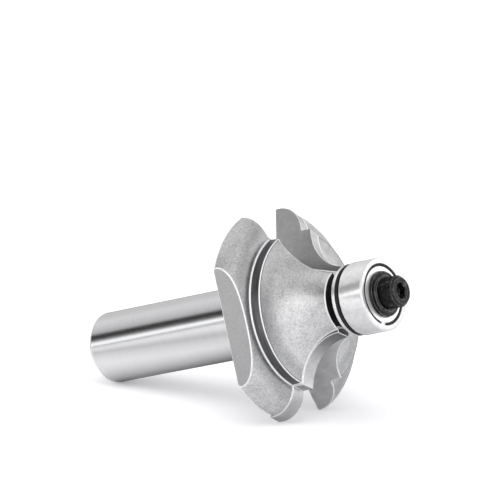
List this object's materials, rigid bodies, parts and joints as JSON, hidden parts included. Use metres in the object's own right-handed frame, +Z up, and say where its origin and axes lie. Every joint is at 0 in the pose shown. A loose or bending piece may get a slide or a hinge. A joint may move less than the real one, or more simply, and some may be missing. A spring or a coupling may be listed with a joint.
{
  "type": "router bit",
  "caption": "Cove-and-bead edge-forming router bit with carbide tips, anti-kickback steel body, straight shank and shielded guide bearing held by a socket-head screw.",
  "frame": {"origin": "centre of the bounding box's base, on the surface the bit lies on", "axes": "+X along the bit towards the pilot, +Z up, the bit's axis tilted up towards the pilot in the XZ plane"},
  "size_m": [0.0658, 0.0316, 0.0348],
  "materials": {
    "body_steel": "fine blasted satin on the head, ground on the shank",
    "carbide": "diamond ground tungsten carbide, dark grey",
    "ground_steel": "turned bright",
    "bearing_steel": "polished",
    "cage_steel": "plain pressed",
    "shield_steel": "bright stamped",
    "black_steel": "black oxide"
  },
  "bodies": {
    "bit": {"cutter_body": "body_steel", "carbide_tip_1": "carbide", "carbide_tip_2": "carbide", "rear_washer": "ground_steel", "bearing_inner_ring": "bearing_steel", "front_washer": "black_steel", "clamp_screw": "black_steel"},
    "bearing_rim": {"bearing_outer_ring": "bearing_steel", "bearing_shield_rear": "shield_steel", "bearing_shield_front": "shield_steel"},
    "ball_set": {"bearing_cage": "cage_steel"}
  },
  "joints": [
    {"name": "bearing_spin", "type": "hinge", "parent": "bit", "child": "bearing_rim", "pos_m": [0.02602, 0, 0.0232], "axis": [0.9569, 0, 0.2905], "continuous": true},
    {"name": "ball_set_spin", "type": "hinge", "parent": "bit", "child": "ball_set", "pos_m": [0.02602, 0, 0.0232], "axis": [0.9569, 0, 0.2905], "continuous": true}
  ],
  "couplings": [
    {"joint": "ball_set_spin", "follows": "bearing_spin", "ratio": 0.6363}
  ]
}
